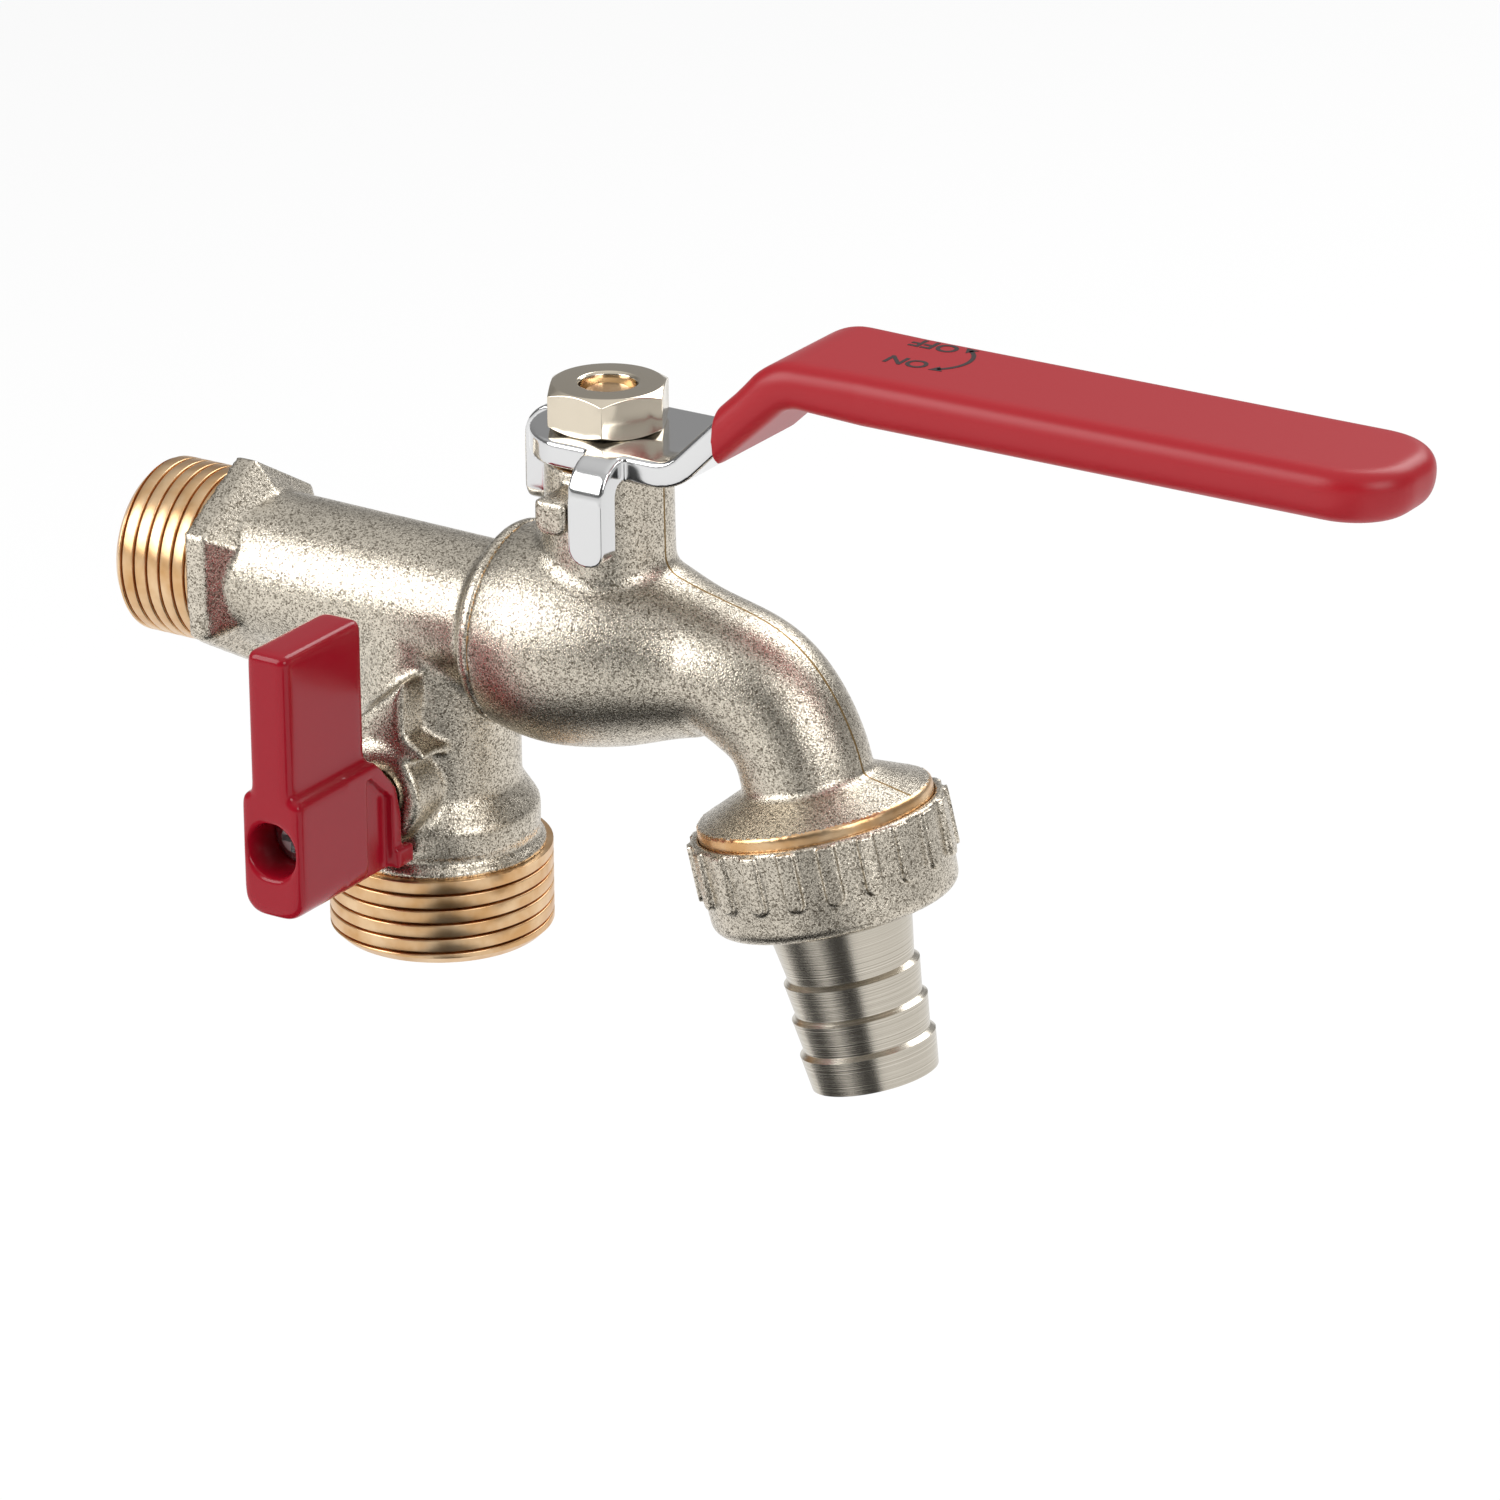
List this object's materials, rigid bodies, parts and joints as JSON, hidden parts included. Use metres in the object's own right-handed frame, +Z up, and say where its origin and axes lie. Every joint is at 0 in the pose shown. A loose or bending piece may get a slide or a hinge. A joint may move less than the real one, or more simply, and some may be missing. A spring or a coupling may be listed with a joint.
{
  "type": "double outlet garden tap",
  "caption": "Wall-mounted garden tap with a lever ball valve to a hose spout and a small-handled ball valve to a threaded outlet below.",
  "frame": {"origin": "on the inlet axis at the wall-side shoulder of the hex collar, where the inlet thread ends", "axes": "+X out from the wall along the inlet axis, +Z up, the small handle on the -Y side"},
  "size_m": [0.1662, 0.0488, 0.0886],
  "materials": {
    "plated_brass": "nickel plated over blasted brass",
    "turned_plated": "turned and nickel plated",
    "bare_brass": "machined",
    "chromed_steel": "bright plated",
    "red_vinyl": "glossy dipped coat",
    "red_paint": "gloss paint",
    "seat_plastic": "smooth",
    "seal_rubber": "matt"
  },
  "bodies": {
    "tap_body": {"tee_body": "plated_brass", "spout_body": "plated_brass", "main_seat_inlet": "seat_plastic", "main_seat_outlet": "seat_plastic", "branch_seat_upper": "seat_plastic", "branch_seat_lower": "seat_plastic", "branch_seat_retainer": "bare_brass", "main_thrust_washer": "seat_plastic", "branch_thrust_washer": "seat_plastic", "hose_gasket": "seal_rubber", "hose_tail": "turned_plated"},
    "lever": {"lever_plate": "chromed_steel", "lever_sleeve": "red_vinyl", "lever_nut": "chromed_steel", "main_stem": "bare_brass", "main_stem_seal_lower": "seal_rubber", "main_stem_seal_upper": "seal_rubber", "main_ball": "turned_plated"},
    "small_handle": {"branch_handle": "red_paint", "branch_handle_screw": "chromed_steel", "branch_stem": "bare_brass", "branch_stem_seal": "seal_rubber", "branch_ball": "turned_plated"},
    "union": {"union_nut": "plated_brass"}
  },
  "joints": [
    {"name": "lever_turn", "type": "hinge", "parent": "tap_body", "child": "lever", "pos_m": [0.0523, 0, 0], "axis": [0, 0, 1], "range_deg": [0, 90]},
    {"name": "small_handle_turn", "type": "hinge", "parent": "tap_body", "child": "small_handle", "pos_m": [0.0279, 0, -0.0195], "axis": [0, -1, 0], "range_deg": [0, 90]},
    {"name": "union_nut_turn", "type": "hinge", "parent": "tap_body", "child": "union", "pos_m": [0.08003, 0, -0.01609], "axis": [0.2504, 0, -0.9681], "continuous": true}
  ]
}
